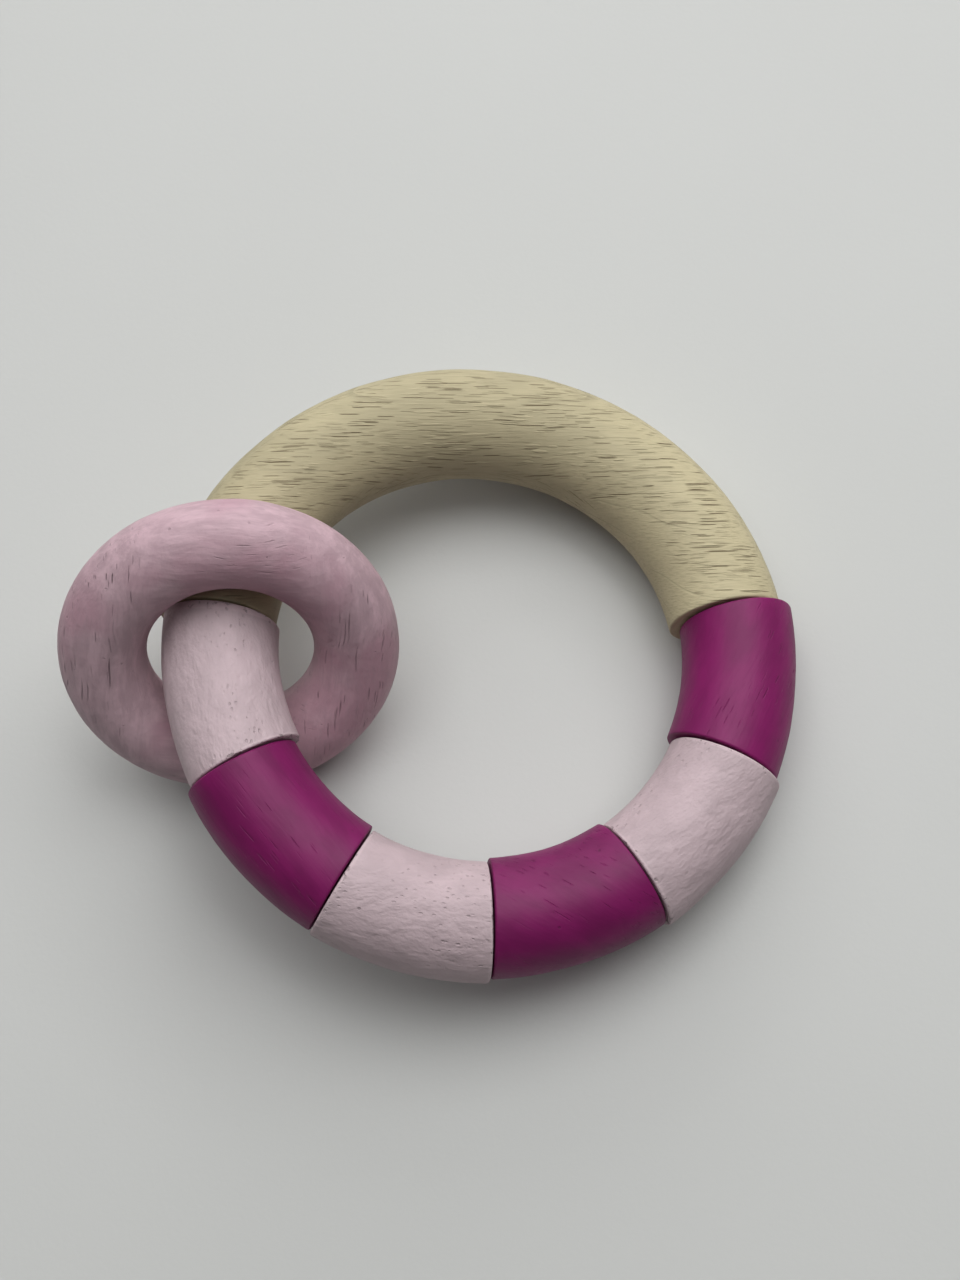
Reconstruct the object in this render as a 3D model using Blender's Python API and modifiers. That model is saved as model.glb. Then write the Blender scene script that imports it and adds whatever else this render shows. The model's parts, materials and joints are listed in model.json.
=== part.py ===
"""Wooden rattle teether: a beech half ring and painted segments on elastic, with a loose ring linked round.

The object lies as it rests on a table, +Z up, in metres. The loose ring props up the left side.
"""

from math import acos, cos, pi, radians, sin

import bmesh
import bpy
from mathutils import Matrix, Vector
from mathutils.bvhtree import BVHTree

MM = 0.001

# Main ring: the circle that the half ring and the segments are bent to, and their round section
RING_CORE_RADIUS = 37.0 * MM
RING_TUBE_RADIUS = 8.2 * MM
HALF_RING_ARC = radians(166.0)
SEGMENT_COUNT = 6
JOINT_GAP = 0.6 * MM
END_ROUNDING = 0.7 * MM

# How the strung segments lie: each droops a little more towards the middle of the chain,
# the chain has slipped sideways on its slack elastic, and single segments stand proud or turned
DROOP_STEP = radians(3.5)
CHAIN_SLIP = Vector((0.8, -0.5, 0.0)) * MM
PROUD = {1: 0.5 * MM, 2: 1.0 * MM, 3: 0.5 * MM, 4: 1.0 * MM, 5: 0.6 * MM}
TURNED = {1: radians(-1.5), 6: radians(1.5)}

# Loose ring: its section, how much wider its hole is than the main ring's section all round,
# and how it hangs on the main ring at the left joint
LOOSE_TUBE_RADIUS = 6.1 * MM
LOOSE_HOLE_PLAY = 3.5 * MM
LOOSE_STATION = radians(179.0)
LOOSE_TWIST = radians(4.5)
LOOSE_DROP = 0.5 * MM
LINK_PLAY_LEAN = 0.8 * MM
LINK_PLAY_SIDE = 1.3 * MM

# Elastic cord and the room round it in its bores
CORD_RADIUS = 1.25 * MM
SEGMENT_BORE_PLAY = 1.35 * MM
PLUG_BORE_PLAY = 0.4 * MM
CORD_BEND_REACH = 2.5 * MM
LONGEST_BEND_SHARE = 0.45

# Stopper knot on each end of the cord, and the drilled plugs that trap the knots in the half ring
KNOT_RADIUS = 2.3 * MM
KNOT_LENGTH = 4.4 * MM
KNOT_ROOM = 0.7 * MM
PLUG_RADIUS = 3.5 * MM
PLUG_LENGTH = 5.0 * MM
PLUG_RECESS = 2.5 * MM
PLUG_CHAMFER = 0.4 * MM
CLEARANCE = 0.3 * MM

# Mesh fineness
RING_SIDES = 32
RING_STEP = radians(4.0)
LOOSE_SIDES = 24
LOOSE_STEPS = 64
CORD_SIDES = 12
BORE_SIDES = 24
BEND_POINTS = 4
KNOT_STEPS = 8
END_ROUNDING_STEPS = 3
TANGENT_LENGTH = 2.0 * MM
OVERCUT = 2.0 * MM
MERGE_DISTANCE = 0.001 * MM
SHARP_ANGLE = radians(40.0)
ROUNDED_FROM_ANGLE = radians(50.0)
MOST_TIPS = 60

# Paints and woods: linear colour and roughness
FINISHES = {
    "natural_beech": ((0.52, 0.42, 0.25, 1.0), 0.62),
    "magenta_paint": ((0.24, 0.03, 0.11, 1.0), 0.55),
    "pale_pink_paint": ((0.60, 0.45, 0.48, 1.0), 0.55),
    "dusty_pink_paint": ((0.30, 0.16, 0.19, 1.0), 0.55),
    "white_elastic": ((0.75, 0.73, 0.70, 1.0), 0.80),
    "plug_beech": ((0.50, 0.38, 0.22, 1.0), 0.65),
}
SEGMENT_PAINTS = ("magenta", "pale_pink")

# Worked out from the values above
GAP_ANGLE = JOINT_GAP / RING_CORE_RADIUS
SEGMENT_PITCH = (2 * pi - HALF_RING_ARC) / SEGMENT_COUNT
SEGMENT_HALF = (SEGMENT_PITCH - GAP_ANGLE) / 2
RIGHT_END = (pi - HALF_RING_ARC) / 2
LINK_RADIUS = RING_TUBE_RADIUS + LOOSE_TUBE_RADIUS
LOOSE_CORE_RADIUS = LINK_RADIUS + LOOSE_HOLE_PLAY
LOOSE_LEAN = acos((LINK_RADIUS + LINK_PLAY_LEAN) / LOOSE_CORE_RADIUS)
LOOSE_INSET = LOOSE_HOLE_PLAY - LINK_PLAY_SIDE
SEGMENT_BORE_RADIUS = CORD_RADIUS + SEGMENT_BORE_PLAY
PLUG_BORE_RADIUS = CORD_RADIUS + PLUG_BORE_PLAY
PLUG_SEAT_RADIUS = PLUG_RADIUS + CLEARANCE
PLUG_SEAT_DEPTH = PLUG_RECESS + PLUG_LENGTH + CLEARANCE
KNOT_CHAMBER_RADIUS = KNOT_RADIUS + KNOT_ROOM
BORE_DEPTH = PLUG_SEAT_DEPTH + KNOT_LENGTH + KNOT_ROOM
DOWN = Vector((0.0, 0.0, -1.0))


def clear_scene():
    for obj in list(bpy.data.objects):
        bpy.data.objects.remove(obj, do_unlink=True)


def new_collection(name):
    collection = bpy.data.collections.new(name)
    bpy.context.scene.collection.children.link(collection)
    return collection


def make_finishes():
    finishes = {}
    for name, (colour, roughness) in FINISHES.items():
        material = bpy.data.materials.new(name)
        material.use_nodes = True
        shader = material.node_tree.nodes["Principled BSDF"]
        shader.inputs["Base Color"].default_value = colour
        shader.inputs["Roughness"].default_value = roughness
        shader.inputs["Metallic"].default_value = 0.0
        material.diffuse_color = colour
        finishes[name] = material
    return finishes


def on_ring(angle):
    """The point of the main ring's core circle at this angle, seen from above."""
    return RING_CORE_RADIUS * Vector((cos(angle), sin(angle), 0.0))


def along_ring(angle):
    """The unit tangent there, the way the angle grows."""
    return Vector((-sin(angle), cos(angle), 0.0))


def arc_route(start, end):
    """Points of the core circle. The first and last steps follow the tangent, so the ends are square."""
    tangent_angle = TANGENT_LENGTH / RING_CORE_RADIUS
    steps = round((end - start - 2 * tangent_angle) / RING_STEP)
    inner = (end - start - 2 * tangent_angle) / steps
    route = [on_ring(start), on_ring(start) + TANGENT_LENGTH * along_ring(start)]
    route += [on_ring(start + tangent_angle + inner * step) for step in range(1, steps)]
    route += [on_ring(end) - TANGENT_LENGTH * along_ring(end), on_ring(end)]
    return route


def tube_mesh(name, route, radius, sides, swells=None):
    """A closed round tube along a route. Swells scale its radius point by point."""
    curve = bpy.data.curves.new(name, "CURVE")
    curve.dimensions = "3D"
    curve.bevel_depth = radius
    curve.bevel_resolution = (sides - 4) // 2
    curve.use_fill_caps = True
    spline = curve.splines.new("POLY")
    spline.points.add(len(route) - 1)
    for number, (point, place) in enumerate(zip(spline.points, route)):
        point.co = (*place, 1.0)
        point.radius = swells[number] if swells else 1.0
    guide = bpy.data.objects.new(name, curve)
    bpy.context.scene.collection.objects.link(guide)
    graph = bpy.context.evaluated_depsgraph_get()
    mesh = bpy.data.meshes.new_from_object(guide.evaluated_get(graph))
    mesh.name = name
    bpy.data.objects.remove(guide, do_unlink=True)
    bpy.data.curves.remove(curve)
    shape = bmesh.new()
    shape.from_mesh(mesh)
    bmesh.ops.remove_doubles(shape, verts=shape.verts, dist=MERGE_DISTANCE)
    bmesh.ops.recalc_face_normals(shape, faces=shape.faces)
    shape.to_mesh(mesh)
    shape.free()
    return mesh


def profile_mesh(name, outline, closed):
    """An outline in the XZ plane, ready to be turned about Z."""
    mesh = bpy.data.meshes.new(name)
    points = [(x, 0.0, z) for x, z in outline]
    edges = [(n, n + 1) for n in range(len(points) - 1)]
    if closed:
        edges.append((len(points) - 1, 0))
    mesh.from_pydata(points, edges, [])
    return mesh


def cylinder_mesh(name, radius, length, sides):
    """A closed cylinder along Y, about its middle."""
    mesh = bpy.data.meshes.new(name)
    shape = bmesh.new()
    bmesh.ops.create_cone(
        shape, cap_ends=True, segments=sides, radius1=radius, radius2=radius, depth=length,
        matrix=Matrix.Rotation(pi / 2, 4, "X"),
    )
    shape.to_mesh(mesh)
    shape.free()
    return mesh


def place(mesh, collection, parent, matrix, finish=None):
    obj = bpy.data.objects.new(mesh.name, mesh)
    collection.objects.link(obj)
    obj.parent = parent
    obj.matrix_local = matrix
    if finish:
        mesh.materials.append(finish)
    return obj


def smooth(obj):
    obj.data.shade_smooth()
    obj.data.set_sharp_from_angle(angle=SHARP_ANGLE)


def turn_profile(obj, steps):
    screw = obj.modifiers.new("turned", "SCREW")
    screw.axis = "Z"
    screw.steps = screw.render_steps = steps
    screw.use_merge_vertices = True
    screw.merge_threshold = MERGE_DISTANCE
    screw.use_smooth_shade = True


def round_ends(obj):
    bevel = obj.modifiers.new("rounded_ends", "BEVEL")
    bevel.width = END_ROUNDING
    bevel.segments = END_ROUNDING_STEPS
    bevel.limit_method = "ANGLE"
    bevel.angle_limit = ROUNDED_FROM_ANGLE


def cut(obj, cutter, name):
    cutter.hide_render = True
    cutter.display_type = "WIRE"
    boolean = obj.modifiers.new(name, "BOOLEAN")
    boolean.operation = "DIFFERENCE"
    boolean.solver = "EXACT"
    boolean.object = cutter


def end_frame(angle, outward):
    """Axes at an end of the half ring: Z runs out of the end face, X away from the ring's centre."""
    z_axis = along_ring(angle) * outward
    x_axis = Vector((cos(angle), sin(angle), 0.0))
    axes = Matrix((x_axis, z_axis.cross(x_axis), z_axis)).transposed().to_4x4()
    return Matrix.Translation(on_ring(angle)) @ axes


def half_ring_ends():
    start = RIGHT_END + GAP_ANGLE / 2
    return {"right": end_frame(start, -1), "left": end_frame(pi - start, 1)}


def segment_frames():
    """One matrix per segment, at the middle of its core arc: X points out of the ring, Y along it."""
    frames = []
    joint = on_ring(RIGHT_END)
    for number in range(1, SEGMENT_COUNT + 1):
        start = RIGHT_END - (number - 1) * SEGMENT_PITCH
        middle, end = start - SEGMENT_PITCH / 2, start - SEGMENT_PITCH
        steps_from_end = min(number, SEGMENT_COUNT + 1 - number)
        droop = Matrix.Rotation(DROOP_STEP * steps_from_end, 4, "X")
        outward = Vector((cos(middle), sin(middle), 0.0))
        centre = joint + droop @ (on_ring(middle) - on_ring(start) + outward * PROUD.get(number, 0.0))
        spin = Matrix.Rotation(middle + TURNED.get(number, 0.0), 4, "Z")
        frames.append(Matrix.Translation(centre + CHAIN_SLIP) @ droop @ spin)
        joint = joint + droop @ (on_ring(end) - on_ring(start))
    return frames


def face_centre(frame, side):
    """The middle of a segment's end face: side 1 is the end nearer the right of the half ring."""
    reach = RING_CORE_RADIUS * sin(SEGMENT_HALF)
    sagitta = RING_CORE_RADIUS * (1 - cos(SEGMENT_HALF))
    return frame @ Vector((-sagitta, side * reach, 0.0))


def loose_ring_frame():
    radial = Vector((cos(LOOSE_STATION), sin(LOOSE_STATION), 0.0))
    axis = along_ring(LOOSE_STATION) * cos(LOOSE_LEAN) - DOWN * sin(LOOSE_LEAN)
    axes = Matrix((radial, axis.cross(radial), axis)).transposed()
    axes = Matrix.Rotation(LOOSE_TWIST, 3, "Z") @ axes
    centre = radial * (RING_CORE_RADIUS - LOOSE_INSET) + DOWN * LOOSE_DROP
    return Matrix.Translation(centre) @ axes.to_4x4()


def rounded_route(corners):
    """A route through these corners, with each inner one rounded off as far as its neighbours leave room."""
    route = [corners[0]]
    for before, corner, after in zip(corners, corners[1:], corners[2:]):
        shorter = min((before - corner).length, (after - corner).length)
        reach = min(CORD_BEND_REACH, LONGEST_BEND_SHARE * shorter)
        enter = corner + (before - corner).normalized() * reach
        leave = corner + (after - corner).normalized() * reach
        for step in range(BEND_POINTS + 1):
            t = step / BEND_POINTS
            route.append(enter * (1 - t) ** 2 + corner * 2 * t * (1 - t) + leave * t**2)
    return route + [corners[-1]]


def knot_shape():
    """(distance past the plug's inner face, swell of the cord) from the cord to the knot's blind end."""
    peak = KNOT_RADIUS / CORD_RADIUS
    shape = []
    for step in range(1, KNOT_STEPS):
        angle = pi * step / KNOT_STEPS
        least = 1.0 if angle < pi / 2 else 0.0
        shape.append((KNOT_LENGTH * (1 - cos(angle)) / 2, max(peak * sin(angle), least)))
    return shape


def make_half_ring(collection, cutters, root, finish):
    start = RIGHT_END + GAP_ANGLE / 2
    mesh = tube_mesh("beech_half_ring", arc_route(start, pi - start), RING_TUBE_RADIUS, RING_SIDES)
    ring = place(mesh, collection, root, Matrix.Identity(4), finish)
    smooth(ring)
    round_ends(ring)
    outline = [
        (0.0, OVERCUT), (PLUG_SEAT_RADIUS, OVERCUT), (PLUG_SEAT_RADIUS, -PLUG_SEAT_DEPTH),
        (KNOT_CHAMBER_RADIUS, -PLUG_SEAT_DEPTH), (KNOT_CHAMBER_RADIUS, -BORE_DEPTH), (0.0, -BORE_DEPTH),
    ]
    for side, frame in half_ring_ends().items():
        cutter = place(profile_mesh(side + "_bore", outline, False), cutters, root, frame)
        turn_profile(cutter, BORE_SIDES)
        cut(ring, cutter, side + "_bore")
    return ring


def make_segment(number, frame, collection, cutters, root, finishes):
    paint = SEGMENT_PAINTS[(number - 1) % len(SEGMENT_PAINTS)]
    name = f"segment_{number}_{paint}"
    mesh = tube_mesh(name, arc_route(-SEGMENT_HALF, SEGMENT_HALF), RING_TUBE_RADIUS, RING_SIDES)
    mesh.transform(Matrix.Translation((-RING_CORE_RADIUS, 0.0, 0.0)))
    segment = place(mesh, collection, root, frame, finishes[paint + "_paint"])
    smooth(segment)
    round_ends(segment)
    length = 2 * (RING_CORE_RADIUS * sin(SEGMENT_HALF) + RING_TUBE_RADIUS)
    bore = cylinder_mesh(name + "_bore", SEGMENT_BORE_RADIUS, length, BORE_SIDES)
    sagitta = RING_CORE_RADIUS * (1 - cos(SEGMENT_HALF))
    cutter = place(bore, cutters, root, frame @ Matrix.Translation((-sagitta, 0.0, 0.0)))
    cut(segment, cutter, "cord_bore")
    return segment


def make_loose_ring(collection, root, finish):
    outline = []
    for step in range(LOOSE_SIDES):
        angle = -2 * pi * step / LOOSE_SIDES
        across, along = LOOSE_TUBE_RADIUS * cos(angle), LOOSE_TUBE_RADIUS * sin(angle)
        outline.append((LOOSE_CORE_RADIUS + across, along))
    mesh = profile_mesh("loose_ring", outline, True)
    ring = place(mesh, collection, root, loose_ring_frame(), finish)
    turn_profile(ring, LOOSE_STEPS)
    return ring


def make_plug(side, frame, collection, root, finish):
    top, bottom = -PLUG_RECESS, -PLUG_RECESS - PLUG_LENGTH
    chamfered = PLUG_RADIUS - PLUG_CHAMFER
    outline = [
        (PLUG_BORE_RADIUS, top), (chamfered, top), (PLUG_RADIUS, top - PLUG_CHAMFER),
        (PLUG_RADIUS, bottom + PLUG_CHAMFER), (chamfered, bottom), (PLUG_BORE_RADIUS, bottom),
    ]
    mesh = profile_mesh(side + "_anchor_plug", outline, True)
    plug = place(mesh, collection, root, frame, finish)
    turn_profile(plug, BORE_SIDES)
    return plug


def make_cord(frames, collection, root, finish):
    """The elastic from knot to knot: out of the right plug, through every segment, into the left plug."""
    ends = half_ring_ends()
    faces = [ends["right"].translation]
    for frame in frames:
        faces += [face_centre(frame, 1), face_centre(frame, -1)]
    faces.append(ends["left"].translation)
    joints = [(faces[n] + faces[n + 1]) / 2 for n in range(0, len(faces), 2)]
    plug_mouth = DOWN * PLUG_RECESS
    knot_start = DOWN * (PLUG_RECESS + PLUG_LENGTH + CLEARANCE)
    corners = [ends["right"] @ knot_start, ends["right"] @ plug_mouth]
    corners += joints + [ends["left"] @ plug_mouth, ends["left"] @ knot_start]
    route = rounded_route(corners)
    swells = [1.0] * len(route)
    for side in ("right", "left"):
        for distance, swell in knot_shape():
            route.insert(0, ends[side] @ (knot_start + DOWN * distance))
            swells.insert(0, swell)
        route.reverse()
        swells.reverse()
    mesh = tube_mesh("elastic_cord", route, CORD_RADIUS, CORD_SIDES, swells)
    cord = place(mesh, collection, root, Matrix.Identity(4), finish)
    smooth(cord)
    return cord


def solid_points(pieces):
    """Every corner of the finished pieces, and their common centre of mass."""
    graph = bpy.context.evaluated_depsgraph_get()
    points, volume, moment = [], 0.0, Vector()
    for piece in pieces:
        solid = piece.evaluated_get(graph)
        corners = [solid.matrix_world @ vertex.co for vertex in solid.data.vertices]
        solid.data.calc_loop_triangles()
        for triangle in solid.data.loop_triangles:
            a, b, c = (corners[n] for n in triangle.vertices)
            share = a.dot(b.cross(c)) / 6
            volume += share
            moment += (a + b + c) / 4 * share
        points += corners
    return points, moment / volume


def resting_side(points, centre):
    """The outward direction of the face of the hull that the object comes to rest on, tipping from flat."""
    hull = bmesh.new()
    for point in points:
        hull.verts.new(point)
    bmesh.ops.convex_hull(hull, input=hull.verts)
    bmesh.ops.recalc_face_normals(hull, faces=hull.faces)
    tree = BVHTree.FromBMesh(hull)
    hull.free()
    side = DOWN
    for _ in range(MOST_TIPS):
        side = tree.ray_cast(centre, side)[1]
    return side


def set_on_table(root, pieces):
    """Tips the whole object onto its rest and puts the middle of its footprint at the origin."""
    bpy.context.view_layer.update()
    side = resting_side(*solid_points(pieces))
    root.matrix_world = side.rotation_difference(DOWN).to_matrix().to_4x4()
    bpy.context.view_layer.update()
    points, _ = solid_points(pieces)
    low = [min(point[axis] for point in points) for axis in range(3)]
    high = [max(point[axis] for point in points) for axis in range(3)]
    root.location -= Vector(((low[0] + high[0]) / 2, (low[1] + high[1]) / 2, low[2]))
    bpy.context.view_layer.update()


def main():
    clear_scene()
    collection = new_collection("wooden_rattle_teether")
    cutters = new_collection("teether_cutters")
    finishes = make_finishes()
    root = bpy.data.objects.new("main_ring_axis", None)
    collection.objects.link(root)
    frames = segment_frames()
    pieces = [make_half_ring(collection, cutters, root, finishes["natural_beech"])]
    for number, frame in enumerate(frames, 1):
        pieces.append(make_segment(number, frame, collection, cutters, root, finishes))
    pieces.append(make_loose_ring(collection, root, finishes["dusty_pink_paint"]))
    for side, frame in half_ring_ends().items():
        pieces.append(make_plug(side, frame, collection, root, finishes["plug_beech"]))
    pieces.append(make_cord(frames, collection, root, finishes["white_elastic"]))
    set_on_table(root, pieces)


main()
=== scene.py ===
"""A wooden rattle teether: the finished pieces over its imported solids, and the studio that shows it.

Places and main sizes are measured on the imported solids. What a user would change is in the settings.
"""

import json
from collections import namedtuple
from math import cos, pi, radians, sin, tan, tau

import bmesh
import bpy
import numpy as np
from bpy.props import FloatProperty, FloatVectorProperty, IntProperty, PointerProperty
from mathutils import Matrix, Vector, noise


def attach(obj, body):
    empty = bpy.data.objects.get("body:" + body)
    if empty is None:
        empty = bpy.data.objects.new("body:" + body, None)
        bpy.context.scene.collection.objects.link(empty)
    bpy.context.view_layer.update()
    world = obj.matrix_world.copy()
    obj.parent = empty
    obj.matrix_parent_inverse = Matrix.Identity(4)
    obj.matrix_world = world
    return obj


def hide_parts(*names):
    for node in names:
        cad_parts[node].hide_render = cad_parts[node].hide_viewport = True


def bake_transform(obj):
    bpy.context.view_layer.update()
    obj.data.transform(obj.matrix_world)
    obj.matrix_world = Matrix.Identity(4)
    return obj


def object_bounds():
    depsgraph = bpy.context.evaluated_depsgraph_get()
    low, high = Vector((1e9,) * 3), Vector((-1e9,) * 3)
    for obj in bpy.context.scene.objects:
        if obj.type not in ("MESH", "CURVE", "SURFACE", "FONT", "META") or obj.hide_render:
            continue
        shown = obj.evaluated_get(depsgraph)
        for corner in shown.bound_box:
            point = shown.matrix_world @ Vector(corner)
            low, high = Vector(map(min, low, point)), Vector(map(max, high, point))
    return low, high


bl_info = {
    "name": "Wooden Rattle Teether",
    "version": (1, 0, 0),
    "blender": (4, 5, 0),
    "location": "3D View > Sidebar > Teether",
    "description": "Builds the finished pieces of a wooden rattle teether and a studio round them",
    "category": "Object",
}

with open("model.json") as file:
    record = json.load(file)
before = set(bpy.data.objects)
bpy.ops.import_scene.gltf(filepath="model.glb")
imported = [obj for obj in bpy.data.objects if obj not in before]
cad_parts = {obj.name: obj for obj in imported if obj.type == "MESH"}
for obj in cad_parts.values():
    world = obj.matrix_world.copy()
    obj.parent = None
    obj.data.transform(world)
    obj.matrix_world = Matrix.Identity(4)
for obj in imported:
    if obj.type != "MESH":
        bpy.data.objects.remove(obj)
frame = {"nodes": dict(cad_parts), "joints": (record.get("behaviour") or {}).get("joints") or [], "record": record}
CAD_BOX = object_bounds()

MM = 0.001
UP = Vector((0.0, 0.0, 1.0))
FAR = Vector((0.0, 1.0, 0.0))
SEGMENT_NUMBERS = range(1, 7)

# A bent or closed round rod: its place is at the centre of its bend, X towards the middle of its arc
Rod = namedtuple("Rod", "place core tube half")


class TeetherShape(bpy.types.PropertyGroup):
    """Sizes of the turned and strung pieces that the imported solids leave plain."""

    edge_rounding: FloatProperty(
        name="Edge rounding", description="Radius of the sanded rim at each sawn end",
        default=0.3 * MM, unit="LENGTH", precision=5)
    unevenness: FloatProperty(
        name="Unevenness", description="How far hand sanding leaves the round section out of true",
        default=0.07 * MM, unit="LENGTH", precision=5)
    lump_length: FloatProperty(
        name="Lump length", description="Spacing of the broad lumps left by sanding",
        default=7.0 * MM, unit="LENGTH", precision=5)
    joint_line: FloatProperty(
        name="Joint line", description="Width of the dark line between two pieces at a joint",
        default=0.3 * MM, unit="LENGTH", precision=5)
    nick_depth: FloatProperty(
        name="Nick depth", description="Depth of the knocks along each rim",
        default=0.18 * MM, unit="LENGTH", precision=5)
    row_length: FloatProperty(
        name="Row length", description="Spacing of the mesh rows along a rod",
        default=0.6 * MM, unit="LENGTH", precision=5)
    sides: IntProperty(
        name="Sides", description="Mesh sides round a rod", default=112, min=16)
    plug_seat_radius: FloatProperty(
        name="Plug seat radius", description="Radius of the hole that each anchor plug is glued into",
        default=3.8 * MM, unit="LENGTH", precision=5)
    plug_seat_depth: FloatProperty(
        name="Plug seat depth", description="Depth of that hole from the sawn end",
        default=7.8 * MM, unit="LENGTH", precision=5)
    knot_chamber_radius: FloatProperty(
        name="Knot chamber radius", description="Radius of the blind hole behind each plug",
        default=3.0 * MM, unit="LENGTH", precision=5)
    knot_chamber_depth: FloatProperty(
        name="Knot chamber depth", description="Depth of the blind hole from the sawn end",
        default=12.9 * MM, unit="LENGTH", precision=5)
    plug_recess: FloatProperty(
        name="Plug recess", description="Depth of each plug's outer face from the sawn end",
        default=2.5 * MM, unit="LENGTH", precision=5)
    bore_chamfer: FloatProperty(
        name="Bore chamfer", description="Width of the chamfer at the mouth of each bore",
        default=0.4 * MM, unit="LENGTH", precision=5)
    cord_radius: FloatProperty(
        name="Cord radius", description="Radius of the braided elastic",
        default=1.25 * MM, unit="LENGTH", precision=5)
    knot_radius: FloatProperty(
        name="Knot radius", description="Radius of the stopper knot on each end of the elastic",
        default=2.2 * MM, unit="LENGTH", precision=5)
    knot_length: FloatProperty(
        name="Knot length", description="Length of the stopper knot",
        default=4.2 * MM, unit="LENGTH", precision=5)
    bend_reach: FloatProperty(
        name="Bend reach", description="How far from each joint the elastic starts to bend",
        default=2.5 * MM, unit="LENGTH", precision=5)


class TeetherColours(bpy.types.PropertyGroup):
    """Colours of the finishes, as linear values."""

    beech: FloatVectorProperty(
        name="Beech", description="Bare sanded beech", subtype="COLOR", default=(0.474, 0.418, 0.266))
    beech_fleck: FloatVectorProperty(
        name="Beech flecks", description="Dark flecks in the beech", subtype="COLOR",
        default=(0.13, 0.092, 0.045))
    magenta: FloatVectorProperty(
        name="Magenta", description="Deep pink paint", subtype="COLOR", default=(0.196, 0.009, 0.099))
    pale_pink: FloatVectorProperty(
        name="Pale pink", description="Palest paint", subtype="COLOR", default=(0.566, 0.444, 0.472))
    dusty_pink: FloatVectorProperty(
        name="Dusty pink", description="Thin paint of the loose ring", subtype="COLOR",
        default=(0.545, 0.379, 0.424))
    dusty_rose: FloatVectorProperty(
        name="Dusty rose", description="Where that paint lies thicker", subtype="COLOR",
        default=(0.50, 0.288, 0.348))
    dust: FloatVectorProperty(
        name="Dust", description="Dust held in chips of pale paint", subtype="COLOR",
        default=(0.22, 0.18, 0.18))
    elastic: FloatVectorProperty(
        name="Elastic", description="Braided elastic", subtype="COLOR", default=(0.5, 0.48, 0.45))
    table: FloatVectorProperty(
        name="Table", description="Pale table top", subtype="COLOR", default=(0.60, 0.608, 0.592))


class TeetherStudio(bpy.types.PropertyGroup):
    """Camera and light."""

    heading: FloatProperty(
        name="Heading", description="Turn of the view from straight ahead, to the left",
        default=radians(13.6), subtype="ANGLE")
    elevation: FloatProperty(
        name="Elevation", description="How steeply the view looks down",
        default=radians(72.85), subtype="ANGLE")
    roll: FloatProperty(
        name="Roll", description="Turn of the camera about its view", default=radians(-16.4), subtype="ANGLE")
    distance: FloatProperty(
        name="Distance", description="Camera to aim", default=0.2329, unit="LENGTH", precision=4)
    aim: FloatVectorProperty(
        name="Aim", description="Point at the middle of the picture", default=(0.0066, 0.0025, 0.015),
        subtype="TRANSLATION", precision=5)
    lens: FloatProperty(
        name="Lens", description="Focal length on a sensor 24 mm tall", default=30.4, unit="CAMERA")
    light_level: FloatProperty(
        name="Light level", description="Brightness of all the lamps together", default=1.0)
    ambient: FloatProperty(name="Ambient", description="Strength of the room's even light", default=0.02)
    backdrop: FloatProperty(
        name="Backdrop", description="Brightness of the plain wall seen past the table", default=0.32)


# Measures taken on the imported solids

def corners_of(node):
    """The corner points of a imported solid, one row each."""
    mesh = frame["nodes"][node].data
    points = np.empty(len(mesh.vertices) * 3, np.float32)
    mesh.vertices.foreach_get("co", points)
    return points.reshape(-1, 3).astype(float)


def seen_from(place, points):
    """The points in the axes of a place."""
    turn = np.array(place.inverted())
    return points @ turn[:3, :3].T + turn[:3, 3]


def placed(centre, x_axis, y_axis, z_axis):
    """A place from its centre and its axes."""
    axes = Matrix((x_axis, y_axis, z_axis)).transposed().to_4x4()
    return Matrix.Translation(centre) @ axes


def joint_named(name):
    """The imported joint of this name."""
    return next(joint for joint in frame["joints"] if joint["name"] == name)


def section_of(x, y):
    """Core and tube radius of a rod that is bent about the origin."""
    reach = np.hypot(x, y)
    return (reach.max() + reach.min()) / 2, (reach.max() - reach.min()) / 2


def measure_half_ring():
    """The loose ring travels about the main ring's own axis, so that joint gives the ring's centre."""
    travel = joint_named("loose_ring_travel")
    turn = UP.rotation_difference(-Vector(travel["axis"])).to_matrix().to_4x4()
    ring = Matrix.Translation(travel["pos_m"]) @ turn @ Matrix.Rotation(pi / 2, 4, "Z")
    x, y, _ = seen_from(ring, corners_of("beech_half_ring")).T
    return Rod(ring, *section_of(x, y), np.abs(np.arctan2(y, x)).max())


def measure_segment(number, core, tube):
    """A segment is pulled straight out of the ring, and across that line it is longest along its bend."""
    points = corners_of(segment_node(number))
    out = Vector(joint_named(f"segment_{number}_pull")["axis"])
    spread = points - points.mean(0)
    spread -= np.outer(spread @ np.array(out), out)
    along = Vector(np.linalg.eigh(spread.T @ spread)[1][:, 2])
    if out.cross(along).z < 0:
        along = -along
    place = placed(points.mean(0), out, along, out.cross(along))
    local = seen_from(place, points)
    low, high = local.min(0), local.max(0)
    centre = (high[0] - tube - core, (low[1] + high[1]) / 2, (low[2] + high[2]) / 2)
    place = place @ Matrix.Translation(centre)
    x, y, _ = seen_from(place, points).T
    return Rod(place, core, tube, np.arctan2(np.abs(y), x).max())


def measure_bore(rod, node):
    """Radius of the straight bore between the middles of a segment's ends."""
    x, _, z = seen_from(rod.place, corners_of(node)).T
    return np.hypot(x - rod.core * cos(rod.half), z).min()


def measure_loose_ring():
    """The loose ring is thinnest along its axis. Its grain is taken to run to the far side."""
    points = corners_of("loose_ring")
    spread = points - points.mean(0)
    axis = Vector(np.linalg.eigh(spread.T @ spread)[1][:, 0])
    if axis.z < 0:
        axis = -axis
    grain = (FAR - axis * FAR.dot(axis)).normalized()
    place = placed(points.mean(0), grain.cross(axis), grain, axis)
    x, y, _ = seen_from(place, points).T
    return Rod(place, *section_of(x, y), pi)


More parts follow.
